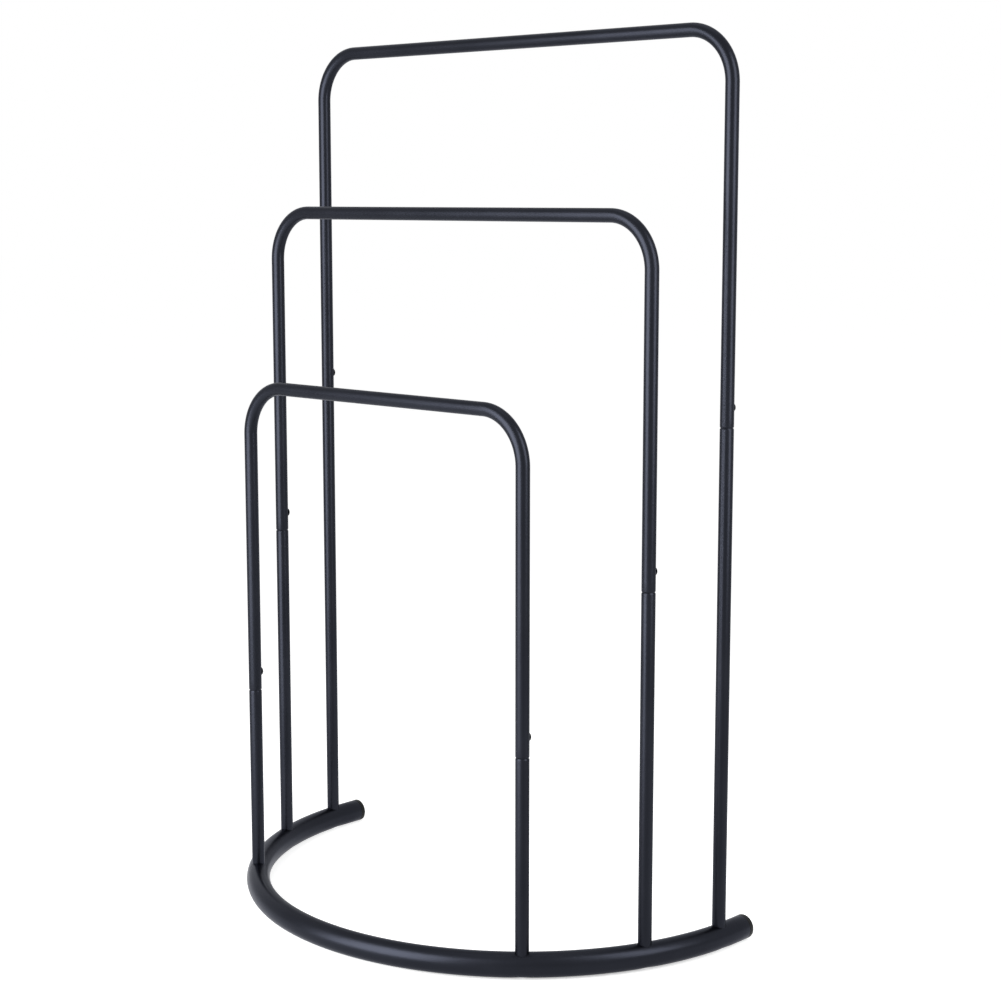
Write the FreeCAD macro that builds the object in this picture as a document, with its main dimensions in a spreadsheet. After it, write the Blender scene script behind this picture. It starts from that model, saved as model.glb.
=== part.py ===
import FreeCAD, Part
import math
import os
import Sketcher

# Free-standing towel stand of powder-coated steel tube. A thick tube bent to a
# half circle lies on the floor. Three hoops of thinner tube stand on it one
# behind the other, and the top run of each hoop is a rail.
#
# Millimetres. +Z is up, +X runs along the rails, and the half circle bulges
# towards -Y, the front. The origin is on the floor, in the middle of the
# stand's width and depth.

SIZES = {
    # base tube, a half circle with a short straight end on each side
    "base_radius": 294.0,           # half circle, to the middle of the tube
    "base_diameter": 25.4,
    "base_wall": 1.2,
    "base_straight": 16.2,          # straight end past the half circle
    # hoops and lower legs share one tube
    "leg_diameter": 14.0,
    "leg_wall": 1.0,
    "bend_radius": 52.0,            # hoop corners, to the middle of the tube
    "short_height": 564.0,          # floor to the top of each rail
    "middle_height": 748.0,
    "tall_height": 926.0,
    "short_angle": 47.0,            # where the legs stand, in degrees round the
    "middle_angle": 22.5,           # half circle from its ends
    "tall_angle": 4.0,
    "short_joint": 222.0,           # floor to the seam of each leg
    "middle_joint": 380.0,
    "tall_joint": 534.0,
    # rolled rims that meet at each seam
    "rim_length": 1.5,
    "rim_depth": 0.7,
    # spigot, fixed in the lower leg, over which the hoop slides
    "spigot_wall": 2.0,
    "spigot_below": 30.0,           # length inside the lower leg
    "spigot_above": 35.0,           # length inside the hoop
    "spigot_lead": 1.5,             # length of the taper that guides the hoop on
    "spigot_taper": 0.75,           # how much the taper takes off the radius
    "spigot_clearance": 0.1,        # radial, between spigot and hoop
    # button-head screw that locks the hoop on its spigot
    "joint_screw_rise": 20.0,       # above the seam
    "joint_screw_diameter": 5.0,
    "joint_screw_length": 8.0,      # under the head
    "joint_screw_clearance": 0.25,  # radial, in the hoop's hole
    "button_diameter": 9.5,
    "button_height": 2.75,
    "button_edge": 0.5,             # upright edge under the button's dome
    "button_socket": 3.0,           # hexagon, across flats
    "button_socket_depth": 1.6,
    # countersunk screw that holds each leg down on the base tube
    "foot_screw_diameter": 6.0,
    "foot_screw_length": 40.0,      # head included
    "foot_screw_clearance": 0.3,    # radial, in the base tube's holes
    "foot_head_diameter": 11.3,
    "foot_head_recess": 0.6,        # head up from the floor, inside its dimple
    "foot_socket": 4.0,             # hexagon, across flats
    "foot_socket_depth": 2.4,
    # threaded insert pressed into the foot of each lower leg
    "insert_length": 15.0,
    "insert_gap": 1.5,              # above the crown of the base tube
    # plastic plugs in the ends of the base tube
    "cap_flange": 5.0,
    "cap_dome": 1.6,                # rise of the raised middle
    "cap_slope": 2.4,               # width of the slope round the raised middle
    "cap_depth": 14.0,              # length inside the tube
    "cap_wall": 1.6,
    "cap_clearance": 0.4,           # radial, between the plug and the tube's bore
    "cap_ring": 1.2,                # thickness of each gripping ring on the plug
    "cap_ring_pitch": 3.6,
}

HOOPS = ("short", "middle", "tall")
SIDES = {"left": -1, "right": 1}
CAP_RINGS = 3
CUTTER_SPARE = 1.0                  # how far a cutting shape overshoots the piece

doc = FreeCAD.newDocument("towel_stand")
sheet = doc.addObject("Spreadsheet::Sheet", "Sizes")
for row, (alias, size) in enumerate(SIZES.items(), start=1):
    sheet.set("A%d" % row, alias)
    sheet.set("B%d" % row, str(size))
    sheet.setAlias("B%d" % row, alias)
doc.recompute()

# Lengths that more than one piece is placed by, worked out from the sheet.
BASE_MIDDLE = "Sizes.base_diameter / 2"
BASE_BORE = "(Sizes.base_diameter / 2 - Sizes.base_wall)"
LEG_OUTSIDE = "Sizes.leg_diameter / 2"
LEG_BORE = "(Sizes.leg_diameter / 2 - Sizes.leg_wall)"
REAR_REACH = "(Sizes.base_straight + Sizes.cap_flange + Sizes.cap_dome)"
ARC_CENTRE = "((Sizes.base_radius + Sizes.base_diameter / 2 - %s) / 2)" % REAR_REACH
HOOP_BORE_FIT = "(%s - Sizes.spigot_clearance)" % LEG_BORE
DIMPLE_MOUTH = "(Sizes.foot_head_diameter / 2 + Sizes.foot_head_recess)"
FOOT_HOLE = "(Sizes.foot_screw_diameter / 2 + Sizes.foot_screw_clearance)"
JOINT_HOLE = "(Sizes.joint_screw_diameter / 2 + Sizes.joint_screw_clearance)"
HEXAGON = "/ 2 / cos(30)"           # from across flats to the corner's radius
TOWARDS_REAR = FreeCAD.Rotation(FreeCAD.Vector(1, 0, 0), -90)

pieces = []


def leg_x(hoop, side):
    """How far a leg stands to the side, as an expression."""
    return "%d * Sizes.base_radius * cos(Sizes.%s_angle)" % (SIDES[side], hoop)


def leg_forward(hoop):
    """How far a hoop stands in front of the half circle's centre."""
    return "Sizes.base_radius * sin(Sizes.%s_angle)" % hoop


def hoop_y(hoop):
    return "%s - %s" % (ARC_CENTRE, leg_forward(hoop))


def bind(item, **expressions):
    """Tie an object's properties to the sheet; x, y and z stand for its place."""
    places = {"x": "Placement.Base.x", "y": "Placement.Base.y", "z": "Placement.Base.z"}
    for name, expression in expressions.items():
        item.setExpression(places.get(name, name), expression)
    return item


def solid(kind, name, turn=None, **expressions):
    """A Part primitive tied to the sheet."""
    item = doc.addObject(kind, name)
    if turn is not None:
        item.Placement.Rotation = turn
    return bind(item, **expressions)


def cut(name, base, tool):
    item = doc.addObject("Part::Cut", name)
    item.Base = base
    item.Tool = tool
    return item


def join(kind, name, shapes):
    item = doc.addObject(kind, name)
    item.Shapes = shapes
    return item


def finish(item, label):
    """Name a finished sub-part and put it on the list to be written."""
    item.Label = label
    pieces.append(item)
    return item


def body_plane(body, role):
    return [plane for plane in body.Origin.OriginFeatures if plane.Role == role][0]


def sketch_on(body, role, name, **expressions):
    """A sketch on one of the body's own planes; x, y and z shift it off the origin."""
    sketch = body.newObject("Sketcher::SketchObject", name)
    sketch.AttachmentSupport = [(body_plane(body, role), "")]
    sketch.MapMode = "FlatFace"
    for letter, expression in expressions.items():
        sketch.setExpression("AttachmentOffset.Base.%s" % letter, expression)
    return sketch


def value(expression):
    """What an expression comes to now, as a plain number."""
    return float(sheet.evalExpression(expression))


def dimension(sketch, kind, name, reference, expression):
    """A named driving constraint tied to the sheet."""
    index = sketch.addConstraint(Sketcher.Constraint(kind, *reference, value(expression)))
    sketch.renameConstraint(index, name)
    sketch.setExpression("Constraints.%s" % name, expression)


def circle_section(sketch, name, radius):
    """A circle on the sketch's origin."""
    circle = Part.Circle(FreeCAD.Vector(), FreeCAD.Vector(0, 0, 1), value(radius))
    index = sketch.addGeometry(circle)
    sketch.addConstraint(Sketcher.Constraint("Coincident", index, 3, -1, 1))
    dimension(sketch, "Radius", name, (index,), radius)


def ring_section(sketch, outside, inside):
    """The cross-section of a tube."""
    circle_section(sketch, "outside", outside)
    circle_section(sketch, "inside", inside)


def polyline(sketch, points):
    """Lines through the points, joined end to end."""
    for start, end in zip(points, points[1:]):
        sketch.addGeometry(Part.LineSegment(FreeCAD.Vector(*start, 0), FreeCAD.Vector(*end, 0)))
    for index in range(len(points) - 2):
        sketch.addConstraint(Sketcher.Constraint("Coincident", index, 2, index + 1, 1))


def swept_tube(body, path, section):
    doc.recompute()
    tube = body.newObject("PartDesign::AdditivePipe", "tube")
    tube.Profile = section
    tube.Spine = path
    doc.recompute()


def primitive_in(body, kind, name, turn=None, **expressions):
    """A PartDesign primitive that adds to or cuts from the body."""
    item = body.newObject(kind, name)
    if turn is not None:
        item.Placement.Rotation = turn
    bind(item, **expressions)
    doc.recompute()
    return item


def rolled_rim(body, name, x, seam, upwards):
    """Turn the rim of a leg tube inwards at its seam.

    The cut leaves a rim whose outside follows an arc that is tangent to the
    tube, so two rims that meet leave a fine groove round the leg.
    """
    outside = sheet.leg_diameter / 2
    inner, outer = outside - sheet.rim_depth, outside + CUTTER_SPARE
    height = sheet.rim_length if upwards else -sheet.rim_length
    bend = (sheet.rim_length ** 2 + sheet.rim_depth ** 2) / (2 * sheet.rim_depth)
    centre = FreeCAD.Vector(outside - bend, height, 0)
    sketch = sketch_on(body, "XZ_Plane", name + "_section", x=x, y=seam)
    polyline(sketch, [(inner, 0), (outer, 0), (outer, height), (outside, height)])
    rim_point, tube_point = FreeCAD.Vector(inner, 0, 0), FreeCAD.Vector(outside, height, 0)
    outward = (rim_point + tube_point) / 2 - centre
    through = centre + outward.normalize() * bend
    sketch.addGeometry(Part.Arc(rim_point, through, tube_point))
    rim_end, tube_end = (1, 2) if upwards else (2, 1)
    sketch.addConstraint([
        Sketcher.Constraint("Coincident", 3, rim_end, 0, 1),
        Sketcher.Constraint("Coincident", 3, tube_end, 2, 2),
        Sketcher.Constraint("Horizontal", 0),
        Sketcher.Constraint("Vertical", 1),
        Sketcher.Constraint("Horizontal", 2),
        Sketcher.Constraint("PointOnObject", 0, 1, -1),
        Sketcher.Constraint("Horizontal", 3, 3, 2, 2),
    ])
    low, high = (1, 2) if upwards else (2, 1)
    dimension(sketch, "DistanceX", "rim", (-1, 1, 0, 1), LEG_OUTSIDE + " - Sizes.rim_depth")
    dimension(sketch, "DistanceX", "spare", (-1, 1, 0, 2), LEG_OUTSIDE + " + %g" % CUTTER_SPARE)
    dimension(sketch, "DistanceX", "tube", (-1, 1, 2, 2), LEG_OUTSIDE)
    dimension(sketch, "DistanceY", "rise", (1, low, 1, high), "Sizes.rim_length")
    doc.recompute()
    groove = body.newObject("PartDesign::Groove", name)
    groove.Profile = sketch
    groove.ReferenceAxis = (sketch, ["V_Axis"])
    groove.Angle = 360
    doc.recompute()


def base_rod(name, radius):
    """A round rod bent to the half circle, in a body centred on the arc."""
    body = doc.addObject("PartDesign::Body", name)
    bind(body, y=ARC_CENTRE, z=BASE_MIDDLE)
    bend, straight = sheet.base_radius, sheet.base_straight
    path = sketch_on(body, "XY_Plane", name + "_path")
    left, right = FreeCAD.Vector(-bend, 0, 0), FreeCAD.Vector(bend, 0, 0)
    back = FreeCAD.Vector(0, straight, 0)
    path.addGeometry(Part.LineSegment(left + back, left))
    path.addGeometry(Part.Arc(left, FreeCAD.Vector(0, -bend, 0), right))
    path.addGeometry(Part.LineSegment(right, right + back))
    path.addConstraint([
        Sketcher.Constraint("Coincident", 1, 3, -1, 1),
        Sketcher.Constraint("Tangent", 0, 2, 1, 1),
        Sketcher.Constraint("Tangent", 2, 1, 1, 2),
        Sketcher.Constraint("Vertical", 0),
        Sketcher.Constraint("Vertical", 2),
        Sketcher.Constraint("Equal", 0, 2),
    ])
    dimension(path, "Radius", "bend", (1,), "Sizes.base_radius")
    dimension(path, "DistanceY", "straight", (2, 1, 2, 2), "Sizes.base_straight")
    section = sketch_on(body, "XZ_Plane", name + "_section", x="-Sizes.base_radius",
                        z="-Sizes.base_straight")
    circle_section(section, "edge", radius)
    swept_tube(body, path, section)
    return body


def make_base_tube():
    """The half circle on the floor, with a hole and a dimpled seat under each leg.

    Each leg's screw comes up through a dimple drawn into the underside and
    leaves through a plain hole in the crown. The dimple is a 45 degree cone
    that fits the screw's head, and its wall is as thick as the tube's, so the
    bore is a bent rod from which the outsides of the dimples are left out.
    """
    tube = base_rod("base_outside", BASE_MIDDLE)
    bore = base_rod("base_bore", BASE_BORE)
    drawn_mouth = "(%s + Sizes.base_wall * sqrt(2))" % DIMPLE_MOUTH
    drawn_top = "(%s - %s + Sizes.base_wall)" % (DIMPLE_MOUTH, FOOT_HOLE)
    for hoop in HOOPS:
        for side in SIDES:
            spot = {"x": leg_x(hoop, side), "y": "-" + leg_forward(hoop)}
            below = dict(spot, z="-%g - %s" % (CUTTER_SPARE, BASE_MIDDLE))
            name = "%s_%s" % (hoop, side)
            primitive_in(bore, "PartDesign::SubtractiveCone", name + "_drawn",
                         Radius1="%s + %g" % (drawn_mouth, CUTTER_SPARE),
                         Radius2="%s - %s" % (drawn_mouth, drawn_top),
                         Height="%s + %g" % (drawn_top, CUTTER_SPARE), **below)
            primitive_in(tube, "PartDesign::SubtractiveCone", name + "_dimple",
                         Radius1="%s + %g" % (DIMPLE_MOUTH, CUTTER_SPARE), Radius2=FOOT_HOLE,
                         Height="%s + %g - %s" % (DIMPLE_MOUTH, CUTTER_SPARE, FOOT_HOLE), **below)
            primitive_in(tube, "PartDesign::SubtractiveCylinder", name + "_hole",
                         Radius=FOOT_HOLE, Height="Sizes.base_diameter + %g" % CUTTER_SPARE,
                         z="-" + BASE_MIDDLE, **spot)
    return finish(cut("base", tube, bore), "base_tube")


def make_lower_leg(hoop, side):
    """A straight leg whose foot is saddle-cut to the round of the base tube."""
    body = doc.addObject("PartDesign::Body", "leg")
    bind(body, x=leg_x(hoop, side), y=hoop_y(hoop))
    section = sketch_on(body, "XY_Plane", "leg_section", z=BASE_MIDDLE)
    ring_section(section, LEG_OUTSIDE, LEG_BORE)
    doc.recompute()
    tube = body.newObject("PartDesign::Pad", "tube")
    tube.Profile = section
    bind(tube, Length="Sizes.%s_joint - %s" % (hoop, BASE_MIDDLE))
    doc.recompute()
    primitive_in(body, "PartDesign::SubtractiveTorus", "saddle", Radius1="Sizes.base_radius",
                 Radius2=BASE_MIDDLE, x="-" + leg_x(hoop, side), y=leg_forward(hoop),
                 z=BASE_MIDDLE)
    rolled_rim(body, "rim", "0", "Sizes.%s_joint" % hoop, upwards=False)
    return finish(body, "%s_lower_leg_%s" % (hoop, side))


def make_hoop(hoop):
    """Two upper legs and the rail between them, bent from one tube."""
    body = doc.addObject("PartDesign::Body", "hoop")
    bind(body, y=hoop_y(hoop))
    half_span = leg_x(hoop, "right")
    rail = "(Sizes.%s_height - %s)" % (hoop, LEG_OUTSIDE)
    seam = "Sizes.%s_joint" % hoop
    across, top, foot = value(half_span), value(rail), value(seam)
    bend, diagonal = sheet.bend_radius, sheet.bend_radius * math.sqrt(0.5)
    path = sketch_on(body, "XZ_Plane", "hoop_path")
    for way in (-1, 1):
        start = FreeCAD.Vector(way * across, foot, 0)
        leg_end = FreeCAD.Vector(way * across, top - bend, 0)
        rail_end = FreeCAD.Vector(way * (across - bend), top, 0)
        through = FreeCAD.Vector(way * (across - bend + diagonal), top - bend + diagonal, 0)
        path.addGeometry(Part.LineSegment(start, leg_end))
        path.addGeometry(Part.Arc(leg_end, through, rail_end))
    left_rail, right_rail = (FreeCAD.Vector(way * (across - bend), top, 0) for way in (-1, 1))
    path.addGeometry(Part.LineSegment(left_rail, right_rail))
    path.addConstraint([
        Sketcher.Constraint("Tangent", 0, 2, 1, 2),
        Sketcher.Constraint("Tangent", 1, 1, 4, 1),
        Sketcher.Constraint("Tangent", 2, 2, 3, 1),
        Sketcher.Constraint("Tangent", 3, 2, 4, 2),
        Sketcher.Constraint("Vertical", 0),
        Sketcher.Constraint("Horizontal", 4),
        Sketcher.Constraint("Vertical", 2),
        Sketcher.Constraint("Equal", 1, 3),
        Sketcher.Constraint("Symmetric", 0, 1, 2, 1, -2),
    ])
    dimension(path, "Radius", "bend", (3,), "Sizes.bend_radius")
    dimension(path, "DistanceX", "half_span", (-1, 1, 2, 1), half_span)
    dimension(path, "DistanceY", "seam", (-1, 1, 2, 1), seam)
    dimension(path, "DistanceY", "rail", (-1, 1, 4, 2), rail)
    section = sketch_on(body, "XY_Plane", "hoop_section", x="-" + half_span, z=seam)
    ring_section(section, LEG_OUTSIDE, LEG_BORE)
    swept_tube(body, path, section)
    for side in SIDES:
        rolled_rim(body, "rim_" + side, leg_x(hoop, side), seam, upwards=True)
        primitive_in(body, "PartDesign::SubtractiveCylinder", "screw_hole_" + side,
                     turn=TOWARDS_REAR, Radius=JOINT_HOLE,
                     Height="%s + %g" % (LEG_OUTSIDE, CUTTER_SPARE),
                     x=leg_x(hoop, side), z=seam + " + Sizes.joint_screw_rise")
    return finish(body, hoop + "_hoop")


def make_spigot(hoop, side):
    """The sleeve inside a leg joint: a tight half below and a sliding half above."""
    body = doc.addObject("PartDesign::Body", "spigot")
    seam = "Sizes.%s_joint" % hoop
    bind(body, x=leg_x(hoop, side), y=hoop_y(hoop), z=seam)
    primitive_in(body, "PartDesign::AdditiveCylinder", "tight_half", Radius=LEG_BORE,
                 Height="Sizes.spigot_below", z="-Sizes.spigot_below")
    primitive_in(body, "PartDesign::AdditiveCylinder", "sliding_half", Radius=HOOP_BORE_FIT,
                 Height="Sizes.spigot_above - Sizes.spigot_lead")
    primitive_in(body, "PartDesign::AdditiveCone", "lead", Radius1=HOOP_BORE_FIT,
                 Radius2=HOOP_BORE_FIT + " - Sizes.spigot_taper",
                 Height="Sizes.spigot_lead", z="Sizes.spigot_above - Sizes.spigot_lead")
    primitive_in(body, "PartDesign::SubtractiveCylinder", "bore",
                 Radius=LEG_BORE + " - Sizes.spigot_wall",
                 Height="Sizes.spigot_below + Sizes.spigot_above", z="-Sizes.spigot_below")
    primitive_in(body, "PartDesign::SubtractiveCylinder", "screw_thread", turn=TOWARDS_REAR,
                 Radius="Sizes.joint_screw_diameter / 2", Height=LEG_OUTSIDE,
                 z="Sizes.joint_screw_rise")
    return finish(body, "%s_spigot_%s" % (hoop, side))


def make_joint_screw(hoop, side):
    """A button-head screw, its head on the rear of the hoop's tube."""
    name = "%s_%s_joint_screw" % (hoop, side)
    height = "Sizes.%s_joint + Sizes.joint_screw_rise" % hoop
    seat = "%s + %s" % (hoop_y(hoop), LEG_OUTSIDE)
    place = {"x": leg_x(hoop, side), "z": height}
    shank = solid("Part::Cylinder", name + "_shank", TOWARDS_REAR,
                  Radius="Sizes.joint_screw_diameter / 2", Height="Sizes.joint_screw_length",
                  y=seat + " - Sizes.joint_screw_length", **place)
    rim = solid("Part::Cylinder", name + "_rim", TOWARDS_REAR, Radius="Sizes.button_diameter / 2",
                Height="Sizes.button_height", y=seat, **place)
    # The dome is a ball that passes through the head's top edge and its crown.
    dome_rise = "(Sizes.button_height - Sizes.button_edge)"
    ball = "((Sizes.button_diameter ^ 2 / 4 + %s ^ 2) / (2 * %s))" % (dome_rise, dome_rise)
    dome = solid("Part::Sphere", name + "_dome", Radius=ball,
                 y="%s + Sizes.button_height - %s" % (seat, ball), **place)
    head = join("Part::MultiCommon", name + "_head", [rim, dome])
    blank = join("Part::MultiFuse", name + "_blank", [head, shank])
    socket = solid("Part::Prism", name + "_socket", TOWARDS_REAR, Polygon="6",
                   Circumradius="Sizes.button_socket " + HEXAGON,
                   Height="Sizes.button_socket_depth + %g" % CUTTER_SPARE,
                   y="%s + Sizes.button_height - Sizes.button_socket_depth" % seat, **place)
    return finish(cut(name, blank, socket), "%s_joint_screw_%s" % (hoop, side))


def make_foot_screw(hoop, side):
    """A countersunk screw from the underside of the base tube up into the leg."""
    name = "%s_%s_foot_screw" % (hoop, side)
    place = {"x": leg_x(hoop, side), "y": hoop_y(hoop)}
    cone = "(Sizes.foot_head_diameter - Sizes.foot_screw_diameter) / 2"
    head = solid("Part::Cone", name + "_head", Radius1="Sizes.foot_head_diameter / 2",
                 Radius2="Sizes.foot_screw_diameter / 2", Height=cone,
                 z="Sizes.foot_head_recess", **place)
    shank = solid("Part::Cylinder", name + "_shank", Radius="Sizes.foot_screw_diameter / 2",
                  Height="Sizes.foot_screw_length", z="Sizes.foot_head_recess", **place)
    blank = join("Part::MultiFuse", name + "_blank", [head, shank])
    socket = solid("Part::Prism", name + "_socket", Polygon="6",
                   Circumradius="Sizes.foot_socket " + HEXAGON,
                   Height="Sizes.foot_socket_depth + %g" % CUTTER_SPARE,
                   z="Sizes.foot_head_recess - %g" % CUTTER_SPARE, **place)
    return finish(cut(name, blank, socket), "%s_foot_screw_%s" % (hoop, side))


def make_foot_insert(hoop, side):
    """The threaded plug pressed into a lower leg just above the base tube."""
    name = "%s_%s_insert" % (hoop, side)
    place = {"x": leg_x(hoop, side), "y": hoop_y(hoop),
             "z": "Sizes.base_diameter + Sizes.insert_gap"}
    plug = solid("Part::Cylinder", name + "_plug", Radius=LEG_BORE,
                 Height="Sizes.insert_length", **place)
    thread = solid("Part::Cylinder", name + "_thread", Radius="Sizes.foot_screw_diameter / 2",
                   Height="Sizes.insert_length", **place)
    return finish(cut(name, plug, thread), "%s_foot_insert_%s" % (hoop, side))


def make_end_cap(side):
    """A hollow plastic plug with gripping rings, closed by a low dome."""
    body = doc.addObject("PartDesign::Body", "cap")
    body.Placement.Rotation = TOWARDS_REAR
    bind(body, x="%d * Sizes.base_radius" % SIDES[side],
         y=ARC_CENTRE + " + Sizes.base_straight", z=BASE_MIDDLE)
    plug = "(%s - Sizes.cap_clearance)" % BASE_BORE
    primitive_in(body, "PartDesign::AdditiveCylinder", "flange", Radius=BASE_MIDDLE,
                 Height="Sizes.cap_flange")
    primitive_in(body, "PartDesign::AdditiveCone", "dome", Radius1=BASE_MIDDLE,
                 Radius2=BASE_MIDDLE + " - Sizes.cap_slope", Height="Sizes.cap_dome",
                 z="Sizes.cap_flange")
    primitive_in(body, "PartDesign::AdditiveCylinder", "plug", Radius=plug,
                 Height="Sizes.cap_depth", z="-Sizes.cap_depth")
    for ring in range(CAP_RINGS):
        primitive_in(body, "PartDesign::AdditiveCylinder", "ring_%d" % (ring + 1),
                     Radius=BASE_BORE, Height="Sizes.cap_ring",
                     z="-Sizes.cap_ring_pitch * %d - Sizes.cap_ring" % (ring + 0.5))
    primitive_in(body, "PartDesign::SubtractiveCylinder", "hollow",
                 Radius=plug + " - Sizes.cap_wall", Height="Sizes.cap_depth",
                 z="-Sizes.cap_depth")
    return finish(body, "end_cap_" + side)


make_base_tube()
for side in SIDES:
    make_end_cap(side)
for hoop in HOOPS:
    make_hoop(hoop)
    for side in SIDES:
        make_lower_leg(hoop, side)
        make_spigot(hoop, side)
        make_joint_screw(hoop, side)
        make_foot_insert(hoop, side)
        make_foot_screw(hoop, side)

doc.recompute()
failed = [item.Name for item in doc.Objects if {"Invalid", "Error"} & set(item.State)]
if failed:
    raise RuntimeError("failed objects: " + ", ".join(failed))
for piece in pieces:
    shape = piece.Shape
    if shape.isNull() or not shape.isValid() or len(shape.Solids) != 1:
        raise RuntimeError(piece.Label + " isn't one valid solid")

os.makedirs("parts", exist_ok=True)
for piece in pieces:
    piece.Shape.exportStep("parts/%s.step" % piece.Label)
print("%d sub-parts written" % len(pieces))
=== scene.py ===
# The studio. The imported model is loaded as the frame. The camera
# stands where the photograph was taken from. A wide white floor lies under plain soft
# light: a broad softbox at the left, a tall strip at the right, a weak one above.
import math

import bmesh
import bpy
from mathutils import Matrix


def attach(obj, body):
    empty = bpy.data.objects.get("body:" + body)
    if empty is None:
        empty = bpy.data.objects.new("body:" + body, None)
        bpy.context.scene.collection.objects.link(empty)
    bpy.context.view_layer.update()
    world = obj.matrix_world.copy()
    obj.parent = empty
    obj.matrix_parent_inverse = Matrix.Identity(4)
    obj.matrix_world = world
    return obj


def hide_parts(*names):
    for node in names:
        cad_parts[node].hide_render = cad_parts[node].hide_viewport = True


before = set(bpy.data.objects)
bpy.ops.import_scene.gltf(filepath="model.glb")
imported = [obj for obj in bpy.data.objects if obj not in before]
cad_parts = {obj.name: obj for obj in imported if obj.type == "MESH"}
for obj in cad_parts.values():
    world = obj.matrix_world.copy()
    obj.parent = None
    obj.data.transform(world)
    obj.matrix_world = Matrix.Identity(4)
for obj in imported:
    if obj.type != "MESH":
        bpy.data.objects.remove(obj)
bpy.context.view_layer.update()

room_light = 0.4
floor_width = 40.0
floor_grey = 0.7
floor_glow = 0.72
dim_glow = 0.15
dim_middle = (0.50, -0.30, 0.0)
dim_inside = 0.20
dim_outside = 0.55


class Value:
    """A number that varies over a surface. Sums written with it add Math nodes."""

    def __init__(self, finish, socket):
        self.finish, self.socket = finish, socket

    def reckon(self, operation, *terms):
        return self.finish.node("Math", {"operation": operation}, Value=list(terms))["Value"]

    def __add__(self, other):
        return self.reckon("ADD", self, other)

    def __radd__(self, other):
        return self.reckon("ADD", other, self)

    def __mul__(self, other):
        return self.reckon("MULTIPLY", self, other)

    def __rmul__(self, other):
        return self.reckon("MULTIPLY", other, self)


class Finish:
    """The node tree of one finish, to which nodes are added one at a time."""

    def __init__(self, owner):
        owner.use_nodes = True
        self.owner, self.tree = owner, owner.node_tree
        self.tree.nodes.clear()

    def node(self, kind, settings=None, **sockets):
        """Add a node: its settings first, then the values or links of its sockets.

        A list fills sockets that share one name, in their order.
        """
        made = self.tree.nodes.new("ShaderNode" + kind)
        for name, setting in (settings or {}).items():
            if name == "stops":
                ramp = made.color_ramp
                for at, colour in setting[1:-1]:
                    ramp.elements.new(at).color = colour
                for element, (at, colour) in zip(ramp.elements, setting):
                    element.position, element.color = at, colour
            else:
                setattr(made, name, setting)
        for name, given in sockets.items():
            alike = [slot for slot in made.inputs if slot.name == name.replace("_", " ")]
            for slot, part in zip(alike, given if isinstance(given, list) else [given]):
                if isinstance(part, Value):
                    self.tree.links.new(part.socket, slot)
                else:
                    slot.default_value = part
        return {out.name: Value(self, out) for out in made.outputs}


scene = bpy.context.scene
scene.view_settings.view_transform = "Standard"

# The lens, place and angle were worked out from the stand's outline in the photograph.
camera_data = bpy.data.cameras.new("camera")
camera_data.sensor_width = 36.0
camera_data.lens = 73.232
camera = bpy.data.objects.new("camera", camera_data)
camera.location = (1.5002, -1.4741, 0.7587)
camera.rotation_euler = (math.radians(81.5135), 0.0, math.radians(43.4851))
scene.collection.objects.link(camera)
scene.camera = camera

sky = Finish(bpy.data.worlds.new("white_room"))
scene.world = sky.owner
ray = sky.node("LightPath")
seen = ray["Is Camera Ray"] + ray["Is Glossy Ray"] + ray["Is Transmission Ray"]
glow = sky.node("Background", Color=(1.0, 1.0, 1.0, 1.0),
                Strength=room_light + (1.0 - room_light) * seen)
sky.node("OutputWorld", Surface=glow["Background"])

# The floor glows so that it shows white, but less in front at the right, where it
# would otherwise be mirrored too brightly along the underside of the base.
bpy.ops.object.select_all(action="DESELECT")
bpy.ops.mesh.primitive_plane_add(size=floor_width, location=(0.0, 0.0, 0.0))
floor = bpy.context.object
floor.name = "floor"
paper = Finish(bpy.data.materials.new("white_floor"))
ray = paper.node("LightPath")
seen = ray["Is Camera Ray"] + ray["Is Glossy Ray"] + ray["Is Transmission Ray"]
spot = paper.node("TexCoord")["Object"]
away = paper.node("VectorMath", {"operation": "DISTANCE"}, Vector=[spot, dim_middle])["Value"]
shine = paper.node("MapRange", {"interpolation_type": "SMOOTHSTEP"}, Value=away,
                   From_Min=dim_inside, From_Max=dim_outside,
                   To_Min=dim_glow, To_Max=floor_glow)
matt = paper.node("BsdfDiffuse", Color=(floor_grey, floor_grey, floor_grey, 1.0), Roughness=0.0)
lift = paper.node("Emission", Color=shine["Result"], Strength=seen)
both = paper.node("AddShader", Shader=[matt["BSDF"], lift["Emission"]])
paper.node("OutputMaterial", Surface=both["Shader"])
floor.data.materials.append(paper.owner)


def softbox(name, place, aim, width, height, watts):
    """A soft rectangular lamp at a place, turned to face the point it is aimed at."""
    lamp = bpy.data.lights.new(name, "AREA")
    lamp.shape, lamp.size, lamp.size_y, lamp.energy = "RECTANGLE", width, height, watts
    holder = bpy.data.objects.new(name, lamp)
    away = [p - a for p, a in zip(place, aim)]
    flat = math.hypot(away[0], away[1])
    holder.location = place
    holder.rotation_euler = (math.atan2(flat, away[2]), 0.0, math.atan2(away[0], -away[1]))
    scene.collection.objects.link(holder)


softbox("left_softbox", place=(-0.255, -1.39, 0.80), aim=(0.145, 0.06, 0.60),
        width=1.40, height=1.50, watts=51.0)
softbox("right_strip", place=(1.00, 0.15, 0.92), aim=(0.2, 0.1, 0.75),
        width=0.42, height=1.10, watts=8.2)
softbox("top_softbox", place=(-0.2, 0.2, 2.6), aim=(0.0, 0.0, 0.4),
        width=1.2, height=1.2, watts=3.0)


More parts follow.
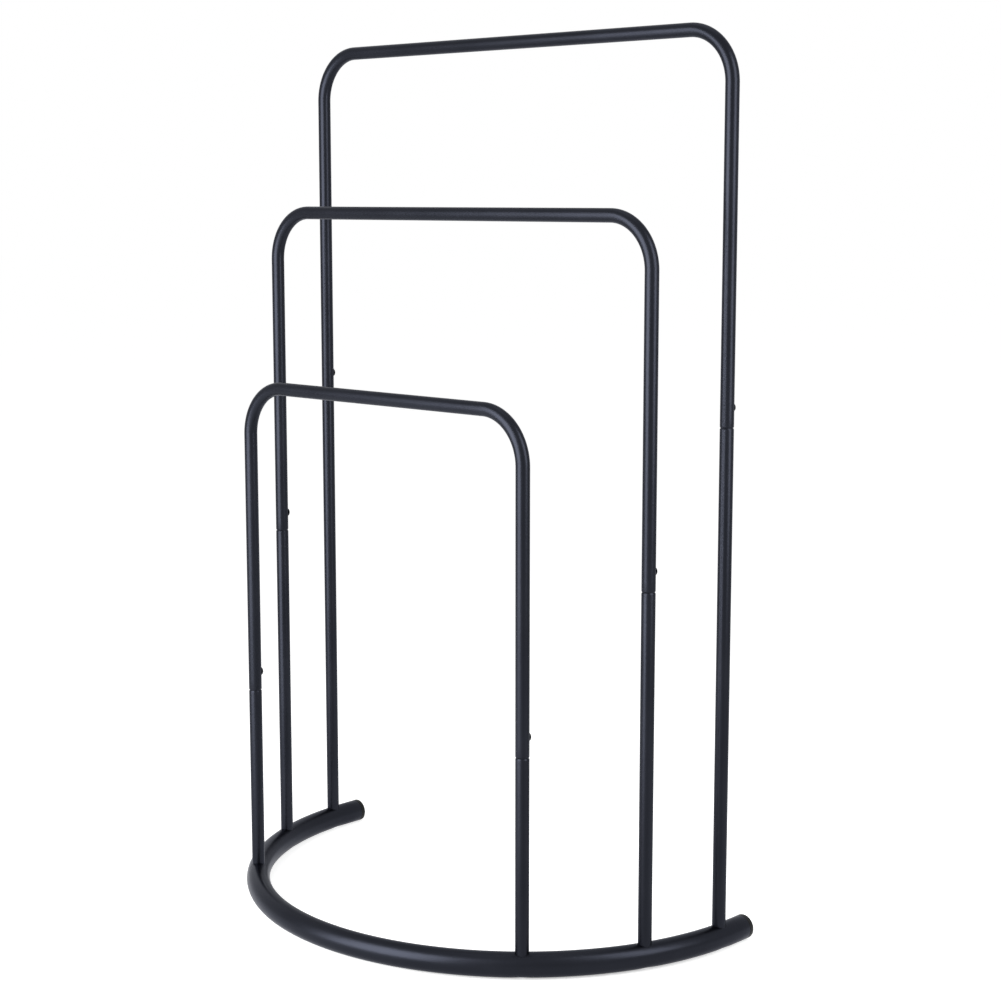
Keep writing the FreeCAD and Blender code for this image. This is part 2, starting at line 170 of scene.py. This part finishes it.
# The base is one thick steel tube bent to a half circle, with short straight ends.
# Under each leg the underside is drawn up into a dimple for a screw head, and the
# metal round it has pulled in a little. The tube is powder coated satin black.
tube_radius = 0.0127
tube_wall = 0.0012
bend_radius = 0.294
bend_centre = 0.14195
straight_end = 0.0162
end_rounding = 0.0005
bore_overrun = 0.002

leg_places = {"short": (0.20051, -0.07307), "middle": (0.27162, 0.02944),
              "tall": (0.29328, 0.12144)}
feet = [(x, y) for across, y in leg_places.values() for x in (across, -across)]

dimple_mouth = 0.007947
dimple_top = 0.00415
dimple_crown = 0.003797
seat_mouth = 0.00625
seat_top = 0.00295
hole_radius = 0.0033
hole_rise = 0.0260
below_floor = 0.0010
dent_height = 0.00045
dent_core = 0.0022
dent_reach = 0.014
lowest_part = 0.98

along_y = (math.radians(90.0), 0.0, 0.0)
upright = (0.0, 0.0, 0.0)

coat = Finish(bpy.data.materials.new("powder_coat"))
at = coat.node("TexCoord")["Object"]
peel = coat.node("TexNoise", Vector=at, Scale=620.0, Detail=2.0, Roughness=0.45)["Fac"]
grain = coat.node("TexNoise", Vector=at, Scale=2600.0, Detail=1.0, Roughness=0.5)["Fac"]
cloud = coat.node("TexNoise", Vector=at, Scale=14.0, Detail=3.0, Roughness=0.5)["Fac"]
tone = coat.node("ValToRGB", {"stops": [(0.30, (0.0158, 0.0172, 0.0228, 1.0)),
                                        (0.55, (0.0174, 0.0189, 0.0250, 1.0)),
                                        (0.75, (0.0192, 0.0208, 0.0274, 1.0))]}, Fac=cloud)
dimples = coat.node("Bump", Height=peel + 0.25 * grain, Strength=0.6, Distance=0.00012)
paint = coat.node("BsdfPrincipled", Base_Color=tone["Color"], Metallic=1.0,
                  Roughness=0.28 + 0.07 * cloud + 0.04 * grain,
                  Specular_IOR_Level=0.25, Specular_Tint=(0.72, 0.73, 0.77, 1.0),
                  Normal=dimples["Normal"])
coat.node("OutputMaterial", Surface=paint["BSDF"])


def choose(mode, wanted):
    """In edit mode, select only the vertices or faces that pass the test."""
    bpy.ops.mesh.select_all(action="DESELECT")
    bpy.ops.mesh.select_mode(type=mode)
    mesh = bmesh.from_edit_mesh(bpy.context.object.data)
    for part in {"VERT": mesh.verts, "FACE": mesh.faces}[mode]:
        part.select_set(bool(wanted(part)))
    mesh.select_flush_mode()
    bmesh.update_edit_mesh(bpy.context.object.data)


def begin(name, radius, sides, place, turn):
    """Start a piece as a ring of points at its place, left selected in edit mode."""
    if bpy.context.object and bpy.context.object.mode != "OBJECT":
        bpy.ops.object.mode_set(mode="OBJECT")
    bpy.ops.object.select_all(action="DESELECT")
    bpy.ops.mesh.primitive_circle_add(vertices=sides, radius=radius, fill_type="NOTHING",
                                      location=place, rotation=turn)
    piece = bpy.context.object
    piece.name = piece.data.name = name
    bpy.ops.object.transform_apply(location=True, rotation=True, scale=True)
    bpy.ops.object.mode_set(mode="EDIT")
    bpy.ops.mesh.select_mode(type="VERT")
    bpy.ops.mesh.select_all(action="SELECT")
    return piece


def pull(move):
    """Extrude what is selected by a straight move."""
    bpy.ops.mesh.extrude_region_move(TRANSFORM_OT_translate={"value": move})


def follow(outline, centre, axis, way=1.0):
    """Extrude a ring along an axis, through the height and radius of each next ring."""
    along = "xyz".index(axis)
    for (height, radius), (last_height, last_radius) in zip(outline[1:], outline):
        move = [0.0, 0.0, 0.0]
        move[along] = way * (height - last_height)
        pull(move)
        if radius != last_radius:
            size = [radius / last_radius] * 3
            size[along] = 1.0
            bpy.ops.transform.resize(value=size, center_override=centre)


def close(piece):
    """Leave edit mode with doubles merged and every face turned outwards."""
    bpy.ops.mesh.select_all(action="SELECT")
    bpy.ops.mesh.remove_doubles(threshold=0.00001)
    bpy.ops.mesh.normals_make_consistent(inside=False)
    bpy.ops.object.mode_set(mode="OBJECT")


def carve(piece, cutter):
    """Take a cutter's shape out of a piece, and throw the cutter away."""
    knife = piece.modifiers.new("carve", "BOOLEAN")
    knife.operation, knife.solver, knife.object = "DIFFERENCE", "EXACT", cutter
    bpy.ops.object.select_all(action="DESELECT")
    bpy.context.view_layer.objects.active = piece
    bpy.ops.object.modifier_apply(modifier=knife.name)
    bpy.data.objects.remove(cutter)


def dress(piece, finish, slot, *nodes):
    """Smooth a finished piece, give it its finish, and let it stand for its nodes."""
    bpy.ops.object.select_all(action="DESELECT")
    piece.select_set(True)
    bpy.context.view_layer.objects.active = piece
    bpy.ops.object.shade_smooth_by_angle(angle=math.radians(32.0))
    piece.data.materials.clear()
    piece.data.materials.append(finish.owner)
    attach(piece, "root")
    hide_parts(*nodes)


def bent_rod(name, radius, sides, steps, overrun):
    """A closed rod along the base's line, pulled in a little round each dimple."""
    straight = straight_end + overrun
    end = bend_centre + straight
    edge = [(end_rounding * (1.0 - math.sin(turn)), radius - end_rounding * (1.0 - math.cos(turn)))
            for turn in (math.radians(a) for a in (90.0, 60.0, 30.0, 0.0))]
    rod = begin(name, radius - end_rounding, sides, (bend_radius, end, tube_radius), along_y)
    follow(edge, (bend_radius, end, tube_radius), "y", -1.0)
    pull((0.0, end_rounding - straight, 0.0))
    bpy.ops.mesh.spin(steps=steps, angle=math.pi, axis=(0.0, 0.0, 1.0),
                      center=(0.0, bend_centre, tube_radius))
    pull((0.0, straight - end_rounding, 0.0))
    follow(edge[::-1], (-bend_radius, end, tube_radius), "y", -1.0)
    bpy.ops.mesh.select_all(action="SELECT")
    bpy.ops.mesh.fill_holes(sides=0)
    bpy.ops.mesh.remove_doubles(threshold=0.00001)
    bpy.ops.mesh.normals_make_consistent(inside=False)
    for x, y in feet:
        choose("VERT", lambda v: math.hypot(v.co.x - x, v.co.y - y) < dent_core
               and v.co.z < tube_radius - lowest_part * radius)
        bpy.ops.transform.translate(
            value=(0.0, 0.0, dent_height), use_proportional_edit=True,
            proportional_edit_falloff="SMOOTH", proportional_size=dent_reach)
    close(rod)
    return rod


def cone(x, y, low, high, wide, narrow):
    """A closed cone standing on its wide end, between two heights."""
    bpy.ops.object.select_all(action="DESELECT")
    bpy.ops.mesh.primitive_cone_add(vertices=64, radius1=wide, radius2=narrow,
                                    depth=high - low, location=(x, y, (low + high) / 2.0))
    made = bpy.context.object
    bpy.ops.object.transform_apply(location=True, rotation=True, scale=True)
    return made


base = bent_rod("base_tube_bent", tube_radius, sides=72, steps=240, overrun=0.0)
bore = bent_rod("base_bore", tube_radius - tube_wall, sides=48, steps=180, overrun=bore_overrun)
for x, y in feet:
    carve(bore, cone(x, y, -below_floor, dimple_top, dimple_mouth + below_floor, dimple_crown))
carve(base, bore)
for x, y in feet:
    cutter = cone(x, y, -below_floor, seat_top, seat_mouth + below_floor, hole_radius)
    bpy.ops.object.mode_set(mode="EDIT")
    choose("FACE", lambda f: f.normal.z > 0.9)
    pull((0.0, 0.0, hole_rise))
    bpy.ops.object.mode_set(mode="OBJECT")
    carve(base, cutter)
dress(base, coat, "powder_coat", "base_tube")


# An end cap closes each open end of the base tube: one moulding in black plastic
# with a low domed face as wide as the tube, and behind it a hollow plug whose three
# soft rings grip the bore. It is pushed in by hand.
cap_rim = 0.0050
cap_rounding = 0.0005
cap_rise = 0.0016
dome_start = 0.0009
dome_end = 0.0024
face_ring = 0.0060
centre_ring = 0.0020
fillet = 0.0002
plug_length = 0.0140
plug_radius = 0.0111
plug_wall = 0.0016
plug_chamfer = 0.0004
ring_radius = 0.0115
ring_width = 0.0012
ring_pitch = 0.0036
ring_edge = 0.0001

plastic = Finish(bpy.data.materials.new("cap_plastic"))
at = plastic.node("TexCoord")["Object"]
mottle = plastic.node("TexNoise", Vector=at, Scale=90.0, Detail=3.0, Roughness=0.5)["Fac"]
leather = plastic.node("TexNoise", Vector=at, Scale=1500.0, Detail=2.0, Roughness=0.6)["Fac"]
tone = plastic.node("ValToRGB", {"stops": [(0.35, (0.0030, 0.0031, 0.0034, 1.0)),
                                           (0.70, (0.0048, 0.0049, 0.0053, 1.0))]}, Fac=mottle)
skin = plastic.node("Bump", Height=leather, Strength=0.4, Distance=0.00008)
moulding = plastic.node("BsdfPrincipled", Base_Color=tone["Color"],
                        Roughness=0.40 + 0.10 * mottle, Specular_IOR_Level=0.14,
                        Normal=skin["Normal"])
plastic.node("OutputMaterial", Surface=moulding["BSDF"])


def turned(name, outline, sides, place, axis):
    """A turned piece: rings of (height, radius) along an axis, closed at both ends."""
    height, radius = outline[0]
    start = list(place)
    start["xyz".index(axis)] += height
    piece = begin(name, radius, sides, start, {"y": along_y, "z": upright}[axis])
    follow(outline, place, axis)
    bpy.ops.mesh.select_all(action="SELECT")
    bpy.ops.mesh.fill_holes(sides=0)
    close(piece)
    return piece


def shifted_copy(piece, name, move):
    """A copy of a piece with its own mesh, moved to another place."""
    bpy.ops.object.select_all(action="DESELECT")
    twin = piece.copy()
    twin.data = piece.data.copy()
    twin.name = twin.data.name = name
    scene.collection.objects.link(twin)
    bpy.context.view_layer.objects.active = twin
    twin.select_set(True)
    bpy.ops.object.mode_set(mode="EDIT")
    bpy.ops.mesh.select_all(action="SELECT")
    bpy.ops.transform.translate(value=move)
    bpy.ops.object.mode_set(mode="OBJECT")
    return twin


plug_bore = plug_radius - plug_wall
back = [(0.0, centre_ring), (0.0, plug_bore), (-plug_length, plug_bore),
        (-plug_length, plug_radius - plug_chamfer), (plug_chamfer - plug_length, plug_radius)]
for ring in (2, 1, 0):
    behind = -(ring + 0.5) * ring_pitch - ring_width / 2.0
    ahead = behind + ring_width
    back += [(behind - ring_edge, plug_radius), (behind, ring_radius - ring_edge),
             (behind + 2.0 * ring_edge, ring_radius), (ahead - 2.0 * ring_edge, ring_radius),
             (ahead, ring_radius - ring_edge), (ahead + ring_edge, plug_radius)]
back += [(-fillet, plug_radius), (0.0, plug_radius + fillet)]
face = [(0.0, tube_radius), (cap_rim - cap_rounding, tube_radius)]
face += [(cap_rim - cap_rounding * (1.0 - math.sin(turn)),
          tube_radius - cap_rounding * (1.0 - math.cos(turn)))
         for turn in (math.radians(30.0), math.radians(60.0), math.radians(90.0))]
face += [(cap_rim + cap_rise * math.sin(share * math.pi / 2.0),
          tube_radius - dome_start - (dome_end - dome_start) * share)
         for share in (0.15, 0.35, 0.55, 0.75, 0.9, 1.0)]
face += [(cap_rim + cap_rise, face_ring), (cap_rim + cap_rise, centre_ring)]
cap = turned("end_cap_moulded_right", back + face, 72,
             (bend_radius, bend_centre + straight_end, tube_radius), "y")
cap_left = shifted_copy(cap, "end_cap_moulded_left", (-2.0 * bend_radius, 0.0, 0.0))
dress(cap, plastic, "cap_plastic", "end_cap_right")
dress(cap_left, plastic, "cap_plastic", "end_cap_left")


# Six lower legs stand on the base tube: straight steel tube, cut to a saddle at the
# foot so that it sits on the round base, with the top edge rolled in at the joint.
# They are powder coated like the base.
leg_radius = 0.0070
leg_bore = 0.0060
rim_length = 0.0015
rim_depth = 0.0007
foot_clearance = 0.0005
foot_strip = 0.0040
joint_heights = {"short": 0.222, "middle": 0.380, "tall": 0.534}

rim = [(rim_length * up, leg_radius - rim_depth * inwards) for up, inwards in
       ((0.0, 0.0), (0.16, 0.06), (0.38, 0.26), (0.66, 0.58), (0.88, 0.86), (1.0, 1.0))]
rolled_in = leg_radius - rim_depth


def mirrored_copy(piece, name):
    """A copy of a piece with its own mesh, mirrored to the other side."""
    twin = shifted_copy(piece, name, (0.0, 0.0, 0.0))
    bpy.ops.object.mode_set(mode="EDIT")
    bpy.ops.mesh.select_all(action="SELECT")
    bpy.ops.transform.resize(value=(-1.0, 1.0, 1.0), center_override=(0.0, 0.0, 0.0))
    bpy.ops.mesh.normals_make_consistent(inside=False)
    bpy.ops.object.mode_set(mode="OBJECT")
    return twin


for hoop, joint in joint_heights.items():
    x, y = leg_places[hoop]
    foot = 2.0 * tube_radius + foot_clearance
    outline = [(foot, leg_radius), (foot + foot_strip, leg_radius)]
    outline += [(joint - rim_length + rise, radius) for rise, radius in rim]
    outline += [(joint, leg_bore), (foot, leg_bore), (foot, leg_radius)]
    leg = begin(hoop + "_lower_leg_tube_right", leg_radius, 64, (x, y, foot), upright)
    follow(outline, (x, y, 0.0), "z")
    close(leg)
    saddle = leg.vertex_groups.new(name="saddle")
    saddle.add([v.index for v in leg.data.vertices if v.co.z < foot + foot_strip / 2.0],
               1.0, "REPLACE")
    cope = leg.modifiers.new("cope", "SHRINKWRAP")
    cope.target, cope.vertex_group = base, saddle.name
    cope.wrap_method, cope.use_project_z = "PROJECT", True
    cope.use_negative_direction, cope.use_positive_direction = True, False
    bpy.ops.object.modifier_apply(modifier=cope.name)
    leg.vertex_groups.clear()
    leg_left = mirrored_copy(leg, hoop + "_lower_leg_tube_left")
    dress(leg, coat, "powder_coat", hoop + "_lower_leg_right")
    dress(leg_left, coat, "powder_coat", hoop + "_lower_leg_left")


# Out of sight, a spigot of steel tube in the top of each leg takes the hoop, and a
# threaded insert pressed into each foot takes the countersunk screw that comes up
# through the base. All are zinc plated. Spigots and inserts are the frame's own.
foot_screw_low = 0.0013
foot_screw_top = 0.0406
foot_shank_radius = 0.0030
foot_head_edge = 0.0001
foot_socket_flats = 0.0040
foot_socket_depth = 0.0017
shank_chamfer = 0.0004
key_length = 0.004

zinc = Finish(bpy.data.materials.new("zinc_steel"))
at = zinc.node("TexCoord")["Object"]
spangle = zinc.node("TexNoise", Vector=at, Scale=260.0, Detail=4.0, Roughness=0.6)["Fac"]
drawn = zinc.node("Mapping", Vector=at, Scale=(1.0, 1.0, 0.06))["Vector"]
streak = zinc.node("TexNoise", Vector=drawn, Scale=1800.0, Detail=2.0, Roughness=0.5)["Fac"]
tone = zinc.node("ValToRGB", {"stops": [(0.30, (0.47, 0.48, 0.50, 1.0)),
                                        (0.52, (0.58, 0.59, 0.61, 1.0)),
                                        (0.72, (0.66, 0.67, 0.68, 1.0))]}, Fac=spangle)
lines = zinc.node("Bump", Height=streak + 0.5 * spangle, Strength=0.25, Distance=0.00005)
plating = zinc.node("BsdfPrincipled", Base_Color=tone["Color"], Metallic=1.0,
                    Roughness=0.28 + 0.16 * streak + 0.08 * spangle, Normal=lines["Normal"])
zinc.node("OutputMaterial", Surface=plating["BSDF"])

for hoop in joint_heights:
    for side in ("left", "right"):
        for kind in ("spigot", "foot_insert"):
            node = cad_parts[hoop + "_" + kind + "_" + side]
            node.data.materials.clear()
            node.data.materials.append(zinc.owner)


def drill(piece, sides, radius, depth, place, turn):
    """Cut a straight hole into a piece: round with many sides, a hexagon with six."""
    bpy.ops.object.select_all(action="DESELECT")
    bpy.ops.mesh.primitive_cylinder_add(vertices=sides, radius=radius, depth=depth,
                                        location=place, rotation=turn)
    carve(piece, bpy.context.object)


def fit_screws(screw, home, name, node, heights, finish, slot):
    """Copy a screw made for one hoop's right leg to the other legs, and dress all six."""
    x, y = leg_places[home]
    for hoop, (across, depth) in leg_places.items():
        for side, to_side in (("left", -across), ("right", across)):
            piece = screw
            if (hoop, side) != (home, "right"):
                piece = shifted_copy(screw, hoop + name + side,
                                     (to_side - x, depth - y, heights[hoop] - heights[home]))
            dress(piece, finish, slot, hoop + node + side)


x, y = leg_places["short"]
foot_head_radius = seat_mouth - foot_screw_low - 2.0 * foot_head_edge
foot_screw = turned("short_foot_screw_countersunk_right", [
    (foot_screw_low, foot_head_radius - foot_head_edge),
    (foot_screw_low + foot_head_edge, foot_head_radius),
    (foot_screw_low + 3.0 * foot_head_edge, foot_head_radius - foot_head_edge),
    (seat_mouth - foot_shank_radius, foot_shank_radius),
    (foot_screw_top - shank_chamfer, foot_shank_radius),
    (foot_screw_top, foot_shank_radius - shank_chamfer)], 48, (x, y, 0.0), "z")
drill(foot_screw, 6, foot_socket_flats / math.sqrt(3.0), key_length,
      (x, y, foot_screw_low + foot_socket_depth - key_length / 2.0), upright)
fit_screws(foot_screw, "short", "_foot_screw_countersunk_", "_foot_screw_",
           dict.fromkeys(leg_places, foot_screw_low), zinc, "zinc_steel")


# Three hoops slide over the spigots, each one length of steel tube bent twice, with
# its open ends rolled in where they meet the legs and a hole at the back of each
# side for the joint screw. They are powder coated like the base.
rail_heights = {"short": 0.557, "middle": 0.741, "tall": 0.919}
hoop_bend = 0.052
screw_above_joint = 0.020
hoop_hole = 0.00275
hole_cutter_length = 0.006
under_hole = 0.0100
over_hole = 0.0270


def over_the_top(x, y, joint, rail, way):
    """Up one side, over and down the other: way 1 from the right, -1 from the left."""
    rise = rail - hoop_bend - joint - rim_length - over_hole
    for step in (under_hole, over_hole - under_hole, rise):
        pull((0.0, 0.0, step))
    bpy.ops.mesh.spin(steps=36, angle=way * math.pi / 2.0, axis=(0.0, 1.0, 0.0),
                      center=(way * (x - hoop_bend), y, rail - hoop_bend))
    pull((-2.0 * way * (x - hoop_bend), 0.0, 0.0))
    bpy.ops.mesh.spin(steps=36, angle=way * math.pi / 2.0, axis=(0.0, 1.0, 0.0),
                      center=(-way * (x - hoop_bend), y, rail - hoop_bend))
    for step in (rise, over_hole - under_hole, under_hole):
        pull((0.0, 0.0, -step))


for hoop, rail in rail_heights.items():
    x, y = leg_places[hoop]
    joint = joint_heights[hoop]
    inwards = [(0.0, rolled_in), (0.0, leg_bore), (rim_length, leg_bore)]
    bow = begin(hoop + "_hoop_bent", rolled_in, 64, (x, y, joint), upright)
    follow(rim[::-1], (x, y, 0.0), "z", -1.0)
    over_the_top(x, y, joint, rail, 1)
    follow(rim, (-x, y, 0.0), "z", -1.0)
    follow(inwards, (-x, y, 0.0), "z")
    over_the_top(x, y, joint, rail, -1)
    follow(inwards[::-1], (x, y, 0.0), "z")
    close(bow)
    for across in (x, -x):
        drill(bow, 48, hoop_hole, hole_cutter_length,
              (across, y + leg_bore, joint + screw_above_joint), along_y)
    dress(bow, coat, "powder_coat", hoop + "_hoop")


# A button-head screw with a hexagon socket holds each hoop end to its spigot from
# the back, just above the joint. The screws are steel with a black oxide finish.
head_radius = 0.00475
head_height = 0.00275
head_edge = 0.0005
edge_break = 0.0002
shank_radius = 0.0025
shank_length = 0.0080
socket_flats = 0.0030
socket_depth = 0.0016

oxide = Finish(bpy.data.materials.new("black_steel"))
at = oxide.node("TexCoord")["Object"]
bloom = oxide.node("TexNoise", Vector=at, Scale=520.0, Detail=3.0, Roughness=0.55)["Fac"]
fine = oxide.node("TexNoise", Vector=at, Scale=3200.0, Detail=1.0, Roughness=0.5)["Fac"]
tone = oxide.node("ValToRGB", {"stops": [(0.35, (0.016, 0.017, 0.020, 1.0)),
                                         (0.68, (0.032, 0.033, 0.037, 1.0))]}, Fac=bloom)
pits = oxide.node("Bump", Height=fine, Strength=0.25, Distance=0.00004)
steel = oxide.node("BsdfPrincipled", Base_Color=tone["Color"], Metallic=0.85,
                   Roughness=0.30 + 0.14 * bloom, Normal=pits["Normal"])
oxide.node("OutputMaterial", Surface=steel["BSDF"])

dome_height = head_height - head_edge
dome_curve = (head_radius ** 2 + dome_height ** 2) / (2.0 * dome_height)
dome_turn = math.asin(head_radius / dome_curve)
outline = [(-shank_length, shank_radius - shank_chamfer),
           (shank_chamfer - shank_length, shank_radius), (0.0, shank_radius),
           (0.0, head_radius - edge_break), (edge_break, head_radius),
           (head_edge - edge_break / 2.0, head_radius)]
outline += [(head_height - dome_curve * (1.0 - math.cos(dome_turn * share)),
             dome_curve * math.sin(dome_turn * share))
            for share in (1.0, 0.88, 0.76, 0.64, 0.52, 0.40, 0.28, 0.16)]
x, y = leg_places["tall"]
seat = y + leg_radius
height = joint_heights["tall"] + screw_above_joint
screw = turned("tall_joint_screw_button_right", outline, 48, (x, seat, height), "y")
drill(screw, 6, socket_flats / math.sqrt(3.0), key_length,
      (x, seat + head_height - socket_depth + key_length / 2.0, height), along_y)
bpy.ops.object.mode_set(mode="EDIT")
close(screw)
fit_screws(screw, "tall", "_joint_screw_button_", "_joint_screw_",
           joint_heights, oxide, "black_steel")
